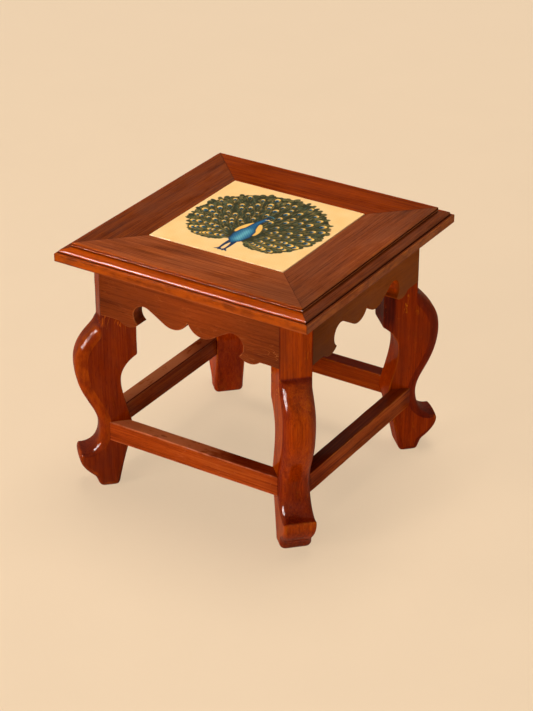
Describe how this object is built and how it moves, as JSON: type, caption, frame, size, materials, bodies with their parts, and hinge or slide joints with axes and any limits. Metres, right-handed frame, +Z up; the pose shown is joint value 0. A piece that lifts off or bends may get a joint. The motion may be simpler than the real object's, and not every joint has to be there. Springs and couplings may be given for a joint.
{
  "type": "footstool",
  "caption": "Low square wooden footstool: a glazed painted tile in a mitred, moulded top on cabriole legs, with scalloped aprons and a box stretcher.",
  "frame": {"origin": "on the floor under the middle of the square top", "axes": "+Z up, -Y out of the front apron, +X to the right seen from the front, both level axes square to the sides of the top"},
  "size_m": [0.28, 0.28, 0.2666],
  "materials": {
    "polished_wood": "polished, red-brown",
    "plain_wood": "planed, bare",
    "plywood": "sanded, bare",
    "glazed_tile": "glossy glaze",
    "adhesive": "cement-based tile adhesive",
    "screw_steel": "zinc-plated"
  },
  "bodies": {
    "root": {"tile": "glazed_tile", "tile_bed": "adhesive", "tile_panel": "plywood", "top_rail_front": "polished_wood", "top_rail_right": "polished_wood", "top_rail_back": "polished_wood", "top_rail_left": "polished_wood", "mitre_tongue_front_left": "plywood", "mitre_tongue_front_right": "plywood", "mitre_tongue_back_right": "plywood", "mitre_tongue_back_left": "plywood", "leg_front_left": "polished_wood", "leg_front_right": "polished_wood", "leg_back_right": "polished_wood", "leg_back_left": "polished_wood", "apron_front": "polished_wood", "apron_right": "polished_wood", "apron_back": "polished_wood", "apron_left": "polished_wood", "stretcher_front": "polished_wood", "stretcher_right": "polished_wood", "stretcher_back": "polished_wood", "stretcher_left": "polished_wood", "cleat_front": "plain_wood", "cleat_right": "plain_wood", "cleat_back": "plain_wood", "cleat_left": "plain_wood", "cleat_apron_screws": "screw_steel", "cleat_top_screws": "screw_steel"}
  },
  "joints": []
}
